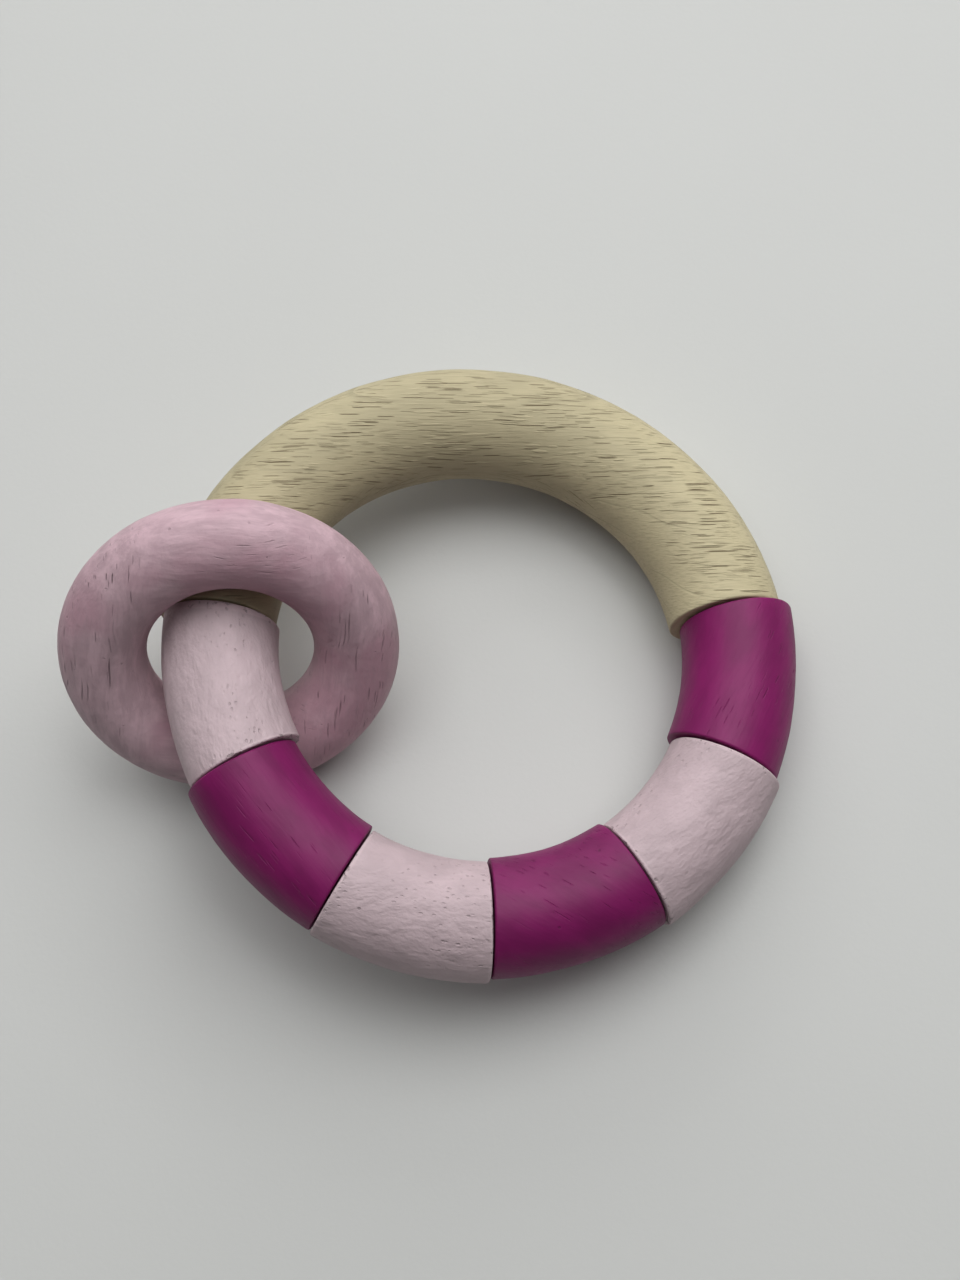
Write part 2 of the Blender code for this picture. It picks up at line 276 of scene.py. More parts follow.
def segment_node(number):
    """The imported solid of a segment."""
    return frame["record"]["behaviour"]["bodies"][f"segment_{number}"][0]


def segment_slot(number):
    """Magenta and pale pink take turns round the ring."""
    return "magenta_paint" if number % 2 else "pale_pink_paint"


HALF_RING = measure_half_ring()
SEGMENTS = {n: measure_segment(n, HALF_RING.core, HALF_RING.tube) for n in SEGMENT_NUMBERS}
LOOSE_RING = measure_loose_ring()


# Materials

# How far the pattern of one piece is moved from that of another, in millimetres for each seed
SEED_STEPS = (31.7, 17.3, 11.9)
# How far along a pattern looks new, in millimetres
PATTERN_STEP = 40.0
# Strokes: the least width and strength beside the greatest, and the share of the width that has no fade
NARROWEST = 0.55
FAINTEST = 0.35
UNFADED = 0.5
# The sockets of a Mix node that take and give colours
MIX_SHARE, MIX_FIRST, MIX_SECOND, MIX_RESULT = 0, 6, 7, 2
# How far the board that the half ring was cut from lay turned about its fibres
BOARD_TILT = radians(22.0)


class Signal:
    """A value, place or colour on its way through the nodes. Arithmetic on values adds Math nodes."""

    def __init__(self, nodes, socket):
        self.nodes = nodes
        self.socket = socket

    def math(self, operation, first, second):
        return self.nodes.signal("ShaderNodeMath", {"operation": operation}, {0: first, 1: second})

    def __add__(self, other):
        return self.math("ADD", self, other)

    __radd__ = __add__

    def __sub__(self, other):
        return self.math("SUBTRACT", self, other)

    def __rsub__(self, other):
        return self.math("SUBTRACT", other, self)

    def __mul__(self, other):
        return self.math("MULTIPLY", self, other)

    __rmul__ = __mul__

    def __truediv__(self, other):
        return self.math("DIVIDE", self, other)

    def larger(self, other):
        return self.math("MAXIMUM", self, other)

    def size(self):
        return self.math("ABSOLUTE", self, 0.0)

    def root(self):
        return self.math("SQRT", self, 0.0)

    def fraction(self):
        return self.math("FRACT", self, 0.0)

    def bearing(self, other):
        """The angle of the point that lies this far along Y and that far along X."""
        return self.math("ARCTAN2", self, other)

    def rise(self, low, high):
        """0 below low, 1 above high, and a smooth step between."""
        limits = {"Value": self, "From Min": low, "From Max": high}
        return self.nodes.signal("ShaderNodeMapRange", {"interpolation_type": "SMOOTHSTEP"}, limits)


class Nodes:
    """The nodes in front of one shader, with one way to add to them."""

    def __init__(self, owner, shader, constants):
        owner.use_nodes = True
        self.tree = owner.node_tree
        self.shader = self.tree.nodes[shader]
        for socket, value in constants.items():
            self.shader.inputs[socket].default_value = value

    def node(self, kind, settings, sockets):
        """Adds a node: its settings first, then values or links."""
        node = self.tree.nodes.new(kind)
        for name, value in settings.items():
            setattr(node, name, value)
        for name, value in sockets.items():
            if isinstance(value, Signal):
                self.tree.links.new(value.socket, node.inputs[name])
            else:
                node.inputs[name].default_value = value
        return node

    def signal(self, kind, settings, sockets, output=0):
        """Adds a node and gives one of its outputs."""
        return Signal(self, self.node(kind, settings, sockets).outputs[output])

    def feed(self, socket, signal):
        """Links a signal to a socket of the shader."""
        self.tree.links.new(signal.socket, self.shader.inputs[socket])


class Finish(Nodes):
    """One procedural material, with short ways to make its patterns."""

    def __init__(self, name, constants):
        self.material = bpy.data.materials.new(name)
        super().__init__(self.material, "Principled BSDF", constants)

    def vector(self, operation, first, second):
        """Maths on places and colours."""
        return self.signal("ShaderNodeVectorMath", {"operation": operation}, {0: first, 1: second})

    def millimetres(self, place, seed=0):
        """Places on the piece in millimetres, in the axes of a place."""
        whole = self.signal("ShaderNodeTexCoord", {}, {}, output="Object")
        axes = {"Vector": whole, "Location": place.translation, "Rotation": place.to_euler()}
        local = self.signal("ShaderNodeMapping", {"vector_type": "TEXTURE"}, axes)
        scaled = self.vector("DIVIDE", local, (MM, MM, MM))
        return self.vector("ADD", scaled, tuple(step * seed for step in SEED_STEPS))

    def turned(self, where, angle):
        """The places turned about the Z axis."""
        sockets = {"Vector": where, "Angle": angle}
        return self.signal("ShaderNodeVectorRotate", {"rotation_type": "Z_AXIS"}, sockets)

    def cloud(self, where, per_mm, detail=2.0, roughness=0.5):
        """Soft noise with this many features a millimetre along each axis."""
        stretched = self.vector("MULTIPLY", where, per_mm)
        sockets = {"Vector": stretched, "Scale": 1.0, "Detail": detail, "Roughness": roughness}
        return self.signal("ShaderNodeTexNoise", {}, sockets)

    def swirled(self, where, per_mm, reach):
        """The places pushed about by up to this reach, so that straight patterns waver."""
        stretched = self.vector("MULTIPLY", where, per_mm)
        sockets = {"Vector": stretched, "Scale": 1.0, "Detail": 1.0}
        push = self.signal("ShaderNodeTexNoise", {}, sockets, output="Color")
        centred = self.vector("SUBTRACT", push, (0.5, 0.5, 0.5))
        return self.vector("ADD", where, self.vector("MULTIPLY", centred, (reach, reach, reach)))

    def moved(self, where, steps):
        """The same places some steps further along, so that one pattern can be used again."""
        return self.vector("ADD", where, (steps * PATTERN_STEP,) * 3)

    def dashes(self, where, per_mm, widest, outline="EUCLIDEAN"):
        """Scattered strokes, long on the axis with the fewest to a millimetre, no two quite alike."""
        stretched = self.vector("MULTIPLY", where, per_mm)
        node = self.node("ShaderNodeTexVoronoi", {"distance": outline}, {"Vector": stretched, "Scale": 1.0})
        distance = Signal(self, node.outputs["Distance"])
        chances = self.parts_of(Signal(self, node.outputs["Color"]))
        own_width = widest * (NARROWEST + (1 - NARROWEST) * chances[0])
        own_strength = FAINTEST + (1 - FAINTEST) * chances[1]
        return own_strength * (1 - (distance / own_width).rise(UNFADED, 1.0))

    def from_ends(self, rod):
        """Millimetres to the nearer sawn end of a rod."""
        x, y, _ = self.parts_of(self.millimetres(rod.place))
        return (rod.half - y.bearing(x).size()) * (rod.core / MM)

    def parts_of(self, where):
        """The three parts of a place or a colour."""
        node = self.node("ShaderNodeSeparateXYZ", {}, {0: where})
        return [Signal(self, output) for output in node.outputs]

    def mix(self, share, first, second):
        """A colour between two colours."""
        sockets = {MIX_SHARE: share, MIX_FIRST: opaque(first), MIX_SECOND: opaque(second)}
        return self.signal("ShaderNodeMix", {"data_type": "RGBA"}, sockets, output=MIX_RESULT)

    def emboss(self, height, depth):
        """Raises the surface by height times depth."""
        sockets = {"Strength": 1.0, "Distance": depth, "Height": height}
        self.feed("Normal", self.signal("ShaderNodeBump", {}, sockets))


def opaque(colour):
    """A plain colour with its alpha, or a signal as it is."""
    return colour if isinstance(colour, Signal) else (*colour[:3], 1.0)


def shade(colour, factor):
    """A colour made lighter or darker."""
    return tuple(channel * factor for channel in colour[:3])


def beech_finish(colours):
    """Bare beech, paler to the right: dark and raised strokes along its fibres, the raised ones lighter, partly
    paler fibre and partly a painted highlight, and faint growth lines.
    """
    finish = Finish("natural_beech", {"Specular IOR Level": 0.25})
    ring = HALF_RING.place @ Matrix.Rotation(-pi / 2, 4, "Z")
    x, y, z = finish.parts_of(finish.millimetres(ring))
    reach = (x * x + y * y).root()
    outward = (reach - HALF_RING.core / MM) / (HALF_RING.tube / MM)
    end_grain = (outward * x / reach).size()
    facing = cos(BOARD_TILT) * (z / (HALF_RING.tube / MM)) - sin(BOARD_TILT) * (outward * y / reach)
    flat = facing.size().rise(0.35, 0.65)
    paler = x.rise(6.0, 34.0)
    board = finish.millimetres(ring @ Matrix.Rotation(BOARD_TILT, 4, "X"))
    where = finish.swirled(board, (0.06, 0.12, 0.06), reach=0.8)

    def strokes(shift, per_y, per_z):
        """Dark strokes in three sets, with this many to a millimetre across the fibres."""
        def set_of(number, per_x, finer, widest):
            place = finish.moved(where, shift + number)
            return finish.dashes(place, (per_x, finer * per_y, finer * per_z), widest, "CHEBYCHEV")

        long_set = set_of(0, per_x=0.085, finer=1.0, widest=0.245)
        short_set = set_of(1, per_x=0.13, finer=1.2, widest=0.235)
        fine_set = set_of(2, per_x=0.16, finer=1.6, widest=0.29)
        return long_set.larger(short_set).larger(0.5 * fine_set)

    on_flats, on_edges = strokes(0, 2.6, 0.12), strokes(3.75, 0.12, 2.6)
    flecks = (on_edges + flat * (on_flats - on_edges)) * (1 - end_grain.rise(0.5, 0.8))
    # Raised strokes: their lighter colour is partly paler fibre and partly a painted highlight on the relief
    ridges_and_highlights = finish.dashes(finish.moved(where, 3), (0.13, 1.5, 1.2), widest=0.40)
    ridges_and_highlights = ridges_and_highlights * (1 - end_grain.rise(0.2, 0.5))
    _, y, z = finish.parts_of(where)
    growth = 0.10 * z + 0.21 * y + 1.8 * finish.cloud(where, (0.018, 0.06, 0.05))
    broken = finish.cloud(where, (0.07, 0.15, 0.08), detail=1.0).rise(0.42, 0.60)
    lines = growth.fraction().rise(0.90, 0.985) * broken
    fibre = finish.cloud(where, (0.22, 4.2, 1.2), detail=3.0, roughness=0.62)
    smudge = finish.cloud(where, (0.07, 0.20, 0.10), detail=3.0)
    colour = finish.mix(smudge.rise(0.34, 0.66), shade(colours.beech, 0.92), shade(colours.beech, 1.06))
    colour = finish.mix(0.75 * paler, colour, shade(colours.beech, 1.26))
    colour = finish.mix(0.6 * fibre.rise(0.42, 0.75), colour, shade(colours.beech, 0.82))
    colour = finish.mix(0.35 * lines, colour, shade(colours.beech, 0.58))
    # Lighter raised strokes, partly a painted highlight
    colour = finish.mix(0.5 * ridges_and_highlights, colour, shade(colours.beech, 1.18))
    colour = finish.mix(flecks, colour, colours.beech_fleck)
    finish.feed("Base Color", colour)
    finish.feed("Roughness", 0.58 + 0.2 * flecks + 0.08 * fibre)
    finish.emboss(0.45 * fibre + 0.5 * ridges_and_highlights - 1.1 * flecks - 0.25 * lines, depth=0.17 * MM)
    return finish.material


def magenta_finish(colours, rod, seed, grain_turn, painted_light):
    """Satin paint that has sunk into a few long creases of the grain."""
    finish = Finish(f"magenta_paint_{seed}", {"Specular IOR Level": 0.28})
    # The paint colour is scaled by a factor that paints light and shade onto this segment
    paint = shade(colours.magenta, painted_light)
    straight = finish.turned(finish.millimetres(rod.place, seed), grain_turn)
    where = finish.swirled(straight, (0.09, 0.05, 0.09), reach=1.8)
    creases = finish.dashes(where, (1.7, 0.12, 0.5), widest=0.21)
    fine_creases = finish.dashes(finish.moved(where, 1), (2.6, 0.17, 0.6), widest=0.24)
    grouped = finish.cloud(where, (0.11, 0.08, 0.10), detail=1.0).rise(0.42, 0.60)
    creases = creases.larger(0.9 * fine_creases) * grouped
    brush = finish.cloud(where, (2.0, 0.2, 1.0), detail=3.0, roughness=0.6)
    mottle = finish.cloud(where, (0.30, 0.12, 0.25), detail=3.0)
    specks = finish.dashes(finish.moved(where, 2), (0.26, 0.24, 0.26), widest=0.07)
    colour = finish.mix(mottle.rise(0.3, 0.7), shade(paint, 0.88), shade(paint, 1.12))
    colour = finish.mix(0.3 * brush.rise(0.5, 0.8), colour, shade(paint, 0.75))
    colour = finish.mix(0.12 * creases, colour, shade(paint, 0.5))
    colour = finish.mix(0.6 * specks, colour, shade(paint, 0.3))
    finish.feed("Base Color", colour)
    finish.feed("Roughness", 0.42 + 0.16 * brush + 0.15 * creases)
    finish.emboss(0.25 * brush + 0.5 * mottle - 0.75 * creases - 0.3 * specks, depth=0.15 * MM)
    return finish.material


def pale_finish(colours, rod, seed, grain_turn, painted_light):
    """Thick matt paint dabbed over raised grain, with clusters of pits, chipped rims that hold dust, and a painted
    highlight along the rims.
    """
    finish = Finish(f"pale_pink_paint_{seed}", {"Specular IOR Level": 0.3})
    # The paint colour is scaled by a factor that paints light and shade onto this segment
    paint = shade(colours.pale_pink, painted_light)
    straight = finish.turned(finish.millimetres(rod.place, seed), grain_turn)
    where = finish.swirled(straight, (0.10, 0.06, 0.10), reach=2.0)
    dabs = finish.cloud(where, (0.7, 0.36, 0.6))
    fine = finish.cloud(where, (2.6, 1.6, 2.4))
    pitted = finish.cloud(where, (0.12, 0.07, 0.10), detail=1.0).rise(0.53, 0.62)
    pits = finish.dashes(finish.moved(where, 1), (1.6, 0.9, 1.0), widest=0.34) * pitted
    specks = finish.dashes(finish.moved(where, 2), (0.24, 0.20, 0.24), widest=0.07)
    mottle = finish.cloud(where, (0.22, 0.13, 0.2), detail=3.0)
    # A band along both rims: it is painted lighter as a painted highlight, and the chips of dust lie in it
    rim_highlight_and_chips = 1 - finish.from_ends(rod).rise(-0.2, 0.18)
    chips = rim_highlight_and_chips * finish.cloud(where, (1.1, 1.1, 1.1)).rise(0.57, 0.66)
    colour = finish.mix(mottle.rise(0.3, 0.7), shade(paint, 0.92), shade(paint, 1.06))
    colour = finish.mix(0.35 * dabs.rise(0.52, 0.78), colour, shade(paint, 0.84))
    colour = finish.mix(0.3 * (1 - dabs.rise(0.25, 0.48)), colour, shade(paint, 1.16))
    # Painted highlight along the rims
    colour = finish.mix(0.6 * rim_highlight_and_chips, colour, shade(paint, 1.22))
    colour = finish.mix(0.18 * pits, colour, shade(paint, 0.5))
    colour = finish.mix(0.6 * specks, colour, shade(paint, 0.35))
    colour = finish.mix(0.5 * chips, colour, colours.dust)
    finish.feed("Base Color", colour)
    finish.feed("Roughness", 0.52 + 0.16 * fine + 0.15 * pits)
    finish.emboss(0.95 * dabs + 0.3 * fine - 0.4 * pits - 0.3 * specks - 0.4 * chips, depth=0.3 * MM)
    return finish.material


def dusty_finish(colours):
    """Thin paint brushed round the ring over open grain, with hair cracks along the fibres at both sides."""
    finish = Finish("dusty_pink_paint", {"Specular IOR Level": 0.3})
    paint = colours.dusty_pink
    plain = finish.millimetres(LOOSE_RING.place)
    sides = finish.parts_of(plain)[0].size().rise(7.0, 14.0)
    where = finish.swirled(plain, (0.10, 0.10, 0.10), reach=2.0)

    def round_the_ring(across, along):
        upright = finish.cloud(where, (across, along, across), detail=3.0, roughness=0.6)
        level = finish.cloud(where, (along, across, across), detail=3.0, roughness=0.6)
        return level + sides * (upright - level)

    cracks = finish.dashes(where, (1.7, 0.06, 0.4), widest=0.22)
    short_cracks = finish.dashes(finish.moved(where, 1), (2.2, 0.13, 0.5), widest=0.25)
    level_cracks = finish.dashes(finish.moved(where, 1.5), (0.18, 2.2, 0.5), widest=0.26)
    grouped = finish.cloud(where, (0.11, 0.05, 0.10), detail=1.0).rise(0.44, 0.58)
    cracks = cracks.larger(0.75 * short_cracks) * sides + 0.5 * level_cracks * (1 - sides)
    cracks = cracks * grouped
    fibre = round_the_ring(2.0, 0.22)
    brush = round_the_ring(0.55, 0.13)
    pebbles = finish.cloud(where, (0.7, 0.6, 0.6), detail=3.0)
    rosy = finish.cloud(where, (0.08, 0.08, 0.08)).rise(0.42, 0.66)
    pits = finish.dashes(finish.moved(where, 2), (0.5, 0.5, 0.5), widest=0.12)
    colour = finish.mix(brush.rise(0.36, 0.64), shade(paint, 0.88), shade(paint, 1.1))
    colour = finish.mix(0.7 * rosy, colour, colours.dusty_rose)
    colour = finish.mix(0.4 * fibre.rise(0.45, 0.75), colour, shade(paint, 0.78))
    colour = finish.mix(0.25 * pebbles.rise(0.5, 0.75), colour, shade(paint, 0.8))
    colour = finish.mix(0.65 * cracks.larger(0.5 * pits), colour, shade(paint, 0.3))
    finish.feed("Base Color", colour)
    finish.feed("Roughness", 0.50 + 0.14 * fibre + 0.15 * cracks)
    finish.emboss(0.3 * fibre + 0.5 * brush + 0.6 * pebbles - 0.8 * cracks - 0.3 * pits, depth=0.22 * MM)
    return finish.material


def elastic_finish(colours):
    """Braided white elastic with a little grey between the strands."""
    finish = Finish("white_elastic", {"Specular IOR Level": 0.25})
    where = finish.millimetres(Matrix.Identity(4))
    yarn = finish.cloud(where, (6.0, 6.0, 6.0))
    colour = finish.mix(yarn.rise(0.35, 0.65), shade(colours.elastic, 0.82), colours.elastic)
    finish.feed("Base Color", colour)
    finish.feed("Roughness", 0.75 + 0.15 * yarn)
    finish.emboss(yarn, depth=0.08 * MM)
    return finish.material


def dowel_finish(colours):
    """Sawn end of a plain dowel, with end-grain dots."""
    finish = Finish("plug_beech", {"Specular IOR Level": 0.25})
    where = finish.millimetres(HALF_RING.place)
    dots = finish.cloud(where, (3.2, 0.4, 3.2), detail=1.0).rise(0.58, 0.68)
    colour = finish.mix(dots, shade(colours.beech, 0.85), shade(colours.beech, 0.5))
    finish.feed("Base Color", colour)
    finish.feed("Roughness", 0.65 + 0.15 * dots)
    finish.emboss(1 - dots, depth=0.08 * MM)
    return finish.material


def table_finish(colours):
    """Pale coated board with a faint grain."""
    finish = Finish("pale_table", {"Specular IOR Level": 0.25})
    where = finish.millimetres(Matrix.Identity(4))
    broad = finish.cloud(where, (0.012, 0.012, 0.012))
    grain = finish.cloud(where, (1.1, 1.1, 1.1))
    colour = finish.mix(broad.rise(0.3, 0.7), shade(colours.table, 0.985), colours.table)
    finish.feed("Base Color", colour)
    finish.feed("Roughness", 0.55 + 0.1 * grain)
    finish.emboss(grain, depth=0.02 * MM)
    return finish.material


# Meshes

# Mesh rows over a rim, through a bore and across a sawn face
EDGE_STEPS = 7
BORE_STEPS = 24
FACE_STEPS = 4
SHARP_ANGLE = radians(35.0)
# Each segment's own number sets its lumps and knocks apart, and these set apart the two rings
HALF_RING_SEED = 0
LOOSE_RING_SEED = 9
# Lumps: the height and number of the fine ones on a broad one, and the step in the noise for each seed
FINE_LUMP_SHARE = 0.3
FINE_LUMPS_PER_LUMP = 4.0
LUMP_SEED_STEPS = (1.0, 3.1, 7.7)
# Knocks: how close round a rim, the noise that starts one, how many roundings it runs in, and the noise steps
NICKS_ROUND = 2.6
NICK_FROM = 0.28
NICK_SPREAD = 2.2
NICK_SEED_STEP = 5.3
NICK_END_STEP = 11.9


def loft(name, rows, looped):
    """A closed skin over rows of equally many points. Unless the rows loop, the first and last are capped."""
    shape = bmesh.new()
    rings = [[shape.verts.new(point) for point in row] for row in rows]
    pairs = list(zip(rings, rings[1:]))
    if looped:
        pairs.append((rings[-1], rings[0]))
    else:
        shape.faces.new(rings[0])
        shape.faces.new(rings[-1])
    for first, second in pairs:
        for here in range(len(first)):
            there = (here + 1) % len(first)
            shape.faces.new((first[here], first[there], second[there], second[here]))
    bmesh.ops.recalc_face_normals(shape, faces=shape.faces)
    mesh = bpy.data.meshes.new(name)
    shape.to_mesh(mesh)
    shape.free()
    mesh.shade_smooth()
    mesh.set_sharp_from_angle(angle=SHARP_ANGLE)
    return mesh


def add_piece(mesh, material, slot, nodes):
    """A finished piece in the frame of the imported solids, which it stands for."""
    piece = bpy.data.objects.new(mesh.name, mesh)
    bpy.context.scene.collection.objects.link(piece)
    mesh.materials.append(material)
    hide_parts(*nodes)
    return piece


def round_angles(shape):
    """The angles of the mesh sides round a rod."""
    return [tau * side / shape.sides for side in range(shape.sides)]


def ring_row(place, radius, shape, depth=0.0):
    """A true circle round the Y axis of a place."""
    return [place @ Vector((radius * cos(a), depth, radius * sin(a))) for a in round_angles(shape)]


def along_rod(rod, angle):
    """The place on a rod's core line at this angle of its bend: X out of the bend, Y along the rod."""
    return rod.place @ Matrix.Rotation(angle, 4, "Z") @ Matrix.Translation((rod.core, 0.0, 0.0))


def lumps(point, shape, seed):
    """How far the sanded surface stands off its true round at a point."""
    at = point / shape.lump_length + Vector([step * seed for step in LUMP_SEED_STEPS])
    return shape.unevenness * (noise.noise(at) + FINE_LUMP_SHARE * noise.noise(at * FINE_LUMPS_PER_LUMP))


def nick(angle, end, shape, seed):
    """Depth of the knocks round one rim."""
    apart = NICK_SEED_STEP * seed + NICK_END_STEP * end
    at = Vector((cos(angle) * NICKS_ROUND, sin(angle) * NICKS_ROUND, apart))
    return shape.nick_depth * max(0.0, noise.noise(at) - NICK_FROM)


def outside_rows(rod, shape, seed, carry=None):
    """The outside of a rod from end to end: rounded rims, lumps and nicks.

    carry gives how far each end is carried on at a point of its face.
    """
    rounding = shape.edge_rounding
    length = 2 * rod.half * rod.core
    rim = []
    for step in range(EDGE_STEPS + 1):
        turn = pi / 2 * step / EDGE_STEPS
        rim.append((rounding * (1 - cos(turn)), rounding * (1 - sin(turn))))
    count = round((length - 2 * rounding) / shape.row_length)
    middle = [(rounding + (length - 2 * rounding) * n / count, 0.0) for n in range(1, count)]
    profile = rim + middle + [(length - depth, inset) for depth, inset in reversed(rim)]
    carried = {}
    for side in (1, -1):
        face = ring_row(along_rod(rod, side * rod.half), rod.tube, shape)
        carried[side] = [carry(side, point) if carry else Vector() for point in face]
    rows = []
    for depth, inset in profile:
        place = along_rod(rod, depth / rod.core - rod.half)
        to_end, end = min((depth, 0), (length - depth, 1))
        wear = max(0.0, 1 - to_end / (NICK_SPREAD * rounding))
        share = depth / length
        row = []
        for number, angle in enumerate(round_angles(shape)):
            out = Vector((cos(angle), 0.0, sin(angle)))
            true = place @ (out * (rod.tube - inset))
            off = lumps(true, shape, seed) - wear * nick(angle, end, shape, seed)
            point = place @ (out * (rod.tube - inset + off))
            row.append(point + carried[1][number] * share + carried[-1][number] * (1 - share))
        rows.append(row)
    return rows


def bore_row(rod, side, radius, depth, shape):
    """Where a straight bore of this radius passes a plane just inside one sloping end of a segment."""
    middle, reach, slope = rod.core * cos(rod.half), rod.core * sin(rod.half), tan(rod.half)
    row = []
    for angle in round_angles(shape):
        out, up = radius * cos(angle), radius * sin(angle)
        along = side * (reach + out * slope - depth)
        row.append(rod.place @ Vector((middle + out, along, up)))
    return row


def between_rows(first, second, count):
    """Rows spread evenly between two rows."""
    rows = []
    for step in range(1, count):
        share = step / count
        rows.append([a.lerp(b, share) for a, b in zip(first, second)])
    return rows


def end_face(rod, side):
    """The middle of an end of a rod, and the way that the end faces: side 1 is where the bend runs to."""
    place = along_rod(rod, side * rod.half)
    return place.translation, side * place.col[1].to_3d()


def facing_end(number, side):
    """The end that a segment's end meets, and how much of their gap the segment takes up."""
    other = number - side
    if other in SEGMENTS:
        return end_face(SEGMENTS[other], -side), 0.5
    return end_face(HALF_RING, -side), 1.0


def carry_on(number, shape):
    """Carries a segment's ends on until each joint is one even dark line."""
    ends = {side: (end_face(SEGMENTS[number], side)[1], *facing_end(number, side)) for side in (1, -1)}

    def carry(side, point):
        along, (centre, facing), share = ends[side]
        gap = (centre - point).dot(facing) / along.dot(facing)
        return along * share * max(0.0, gap - shape.joint_line)

    return carry


def segment_mesh(name, number, shape):
    """One closed skin over the outside, the ends and the bore of a segment."""
    rod = SEGMENTS[number]
    carry = carry_on(number, shape)
    rows = outside_rows(rod, shape, number, carry)
    bore, chamfer = measure_bore(rod, segment_node(number)), shape.bore_chamfer
    outer, inner = [], []
    for side in (1, -1):
        mouth = bore_row(rod, side, bore + chamfer, 0.0, shape)
        reach = [carry(side, point) for point in mouth]
        outer.append([point + more for point, more in zip(mouth, reach)])
        inner.append([point + more for point, more in zip(bore_row(rod, side, bore, chamfer, shape), reach)])
    first, last = rows[0], rows[-1]
    rows += between_rows(last, outer[0], FACE_STEPS) + [outer[0], inner[0]]
    rows += between_rows(inner[0], inner[1], BORE_STEPS) + [inner[1], outer[1]]
    rows += between_rows(outer[1], first, FACE_STEPS)
    return loft(name, rows, looped=True)


def stepped_bore_rows(end, inward, shape):
    """The blind hole in an end of the half ring, from its bottom out to the sawn face."""
    chamfer, seat, chamber = shape.bore_chamfer, shape.plug_seat_radius, shape.knot_chamber_radius
    profile = [
        (shape.knot_chamber_depth, chamber), (shape.plug_seat_depth, chamber),
        (shape.plug_seat_depth, seat), (chamfer, seat), (0.0, seat + chamfer),
    ]
    return [ring_row(end, radius, shape, inward * depth) for depth, radius in profile]


def half_ring_mesh(name, rod, shape):
    """One closed skin over the half ring and the blind holes in its ends."""
    middle = outside_rows(rod, shape, HALF_RING_SEED)
    right = stepped_bore_rows(along_rod(rod, -rod.half), 1, shape)
    left = stepped_bore_rows(along_rod(rod, rod.half), -1, shape)[::-1]
    rows = right + between_rows(right[-1], middle[0], FACE_STEPS) + middle
    rows += between_rows(middle[-1], left[0], FACE_STEPS) + left
    return loft(name, rows, looped=False)


def loose_ring_mesh(name, rod, shape):
    """The skin of the closed ring."""
    count = round(tau * (rod.core + rod.tube) / shape.row_length)
    rows = []
    for step in range(count):
        place = along_rod(rod, tau * step / count)
        row = []
        for angle in round_angles(shape):
            out = Vector((cos(angle), 0.0, sin(angle)))
            off = lumps(place @ (out * rod.tube), shape, LOOSE_RING_SEED)
            row.append(place @ (out * (rod.tube + off)))
        rows.append(row)
    return loft(name, rows, looped=True)


# Elastic

CORD_SIDES = 36
CORD_STEP = 0.3 * MM
# The braid: strands each way, the length of one turn, and its relief as a share of the radius
STRANDS = 6
STRAND_PITCH = 5.0 * MM
STRAND_RELIEF = 0.05
# A bend takes at most this share of the shorter stretch beside it
LONGEST_BEND_SHARE = 0.45
BEND_POINTS = 12
# The knot: its gap to the plug, and the share of its length and of the cord's radius where its tip closes
KNOT_GAP = 0.3 * MM
KNOT_TIP_SHARE = 0.04
KNOT_TIP_SWELL = 0.2


def cord_joints():
    """The points half way between the faces of neighbouring pieces, from the right end to the left."""
    faces = [end_face(HALF_RING, -1)[0]]
    for number in SEGMENT_NUMBERS:
        faces += [end_face(SEGMENTS[number], side)[0] for side in (1, -1)]
    faces.append(end_face(HALF_RING, 1)[0])
    return [(faces[n] + faces[n + 1]) / 2 for n in range(0, len(faces), 2)]


def into_half_ring(side, depth):
    """A point on the axis of the hole in one end of the half ring."""
    return along_rod(HALF_RING, side * HALF_RING.half) @ Vector((0.0, -side * depth, 0.0))


def rounded(corners, reach):
    """The corners of a route with each inner one rounded off as far as its neighbours leave room."""
    route = [corners[0]]
    for before, corner, after in zip(corners, corners[1:], corners[2:]):
        shorter = min((before - corner).length, (after - corner).length)
        near = min(reach, LONGEST_BEND_SHARE * shorter)
        enter = corner + (before - corner).normalized() * near
        leave = corner + (after - corner).normalized() * near
        for step in range(BEND_POINTS + 1):
            t = step / BEND_POINTS
            route.append(enter * (1 - t) ** 2 + corner * 2 * t * (1 - t) + leave * t**2)
    return route + [corners[-1]]


def evenly(route, step):
    """Points along a route at an even spacing close to this step."""
    points = np.array([tuple(point) for point in route])
    length = np.concatenate([[0.0], np.cumsum(np.linalg.norm(np.diff(points, axis=0), axis=1))])
    at = np.linspace(0.0, length[-1], round(length[-1] / step) + 1)
    spread = np.stack([np.interp(at, length, points[:, axis]) for axis in range(3)], axis=1)
    return [Vector(point) for point in spread]


def knot_swell(distance, shape):
    """How much the cord swells at this distance from its end."""
    if distance > shape.knot_length:
        return 1.0
    share = max(distance / shape.knot_length, KNOT_TIP_SHARE)
    bulge = shape.knot_radius / shape.cord_radius * sin(pi * share)
    return max(bulge, 1.0 if share > 0.5 else KNOT_TIP_SWELL)


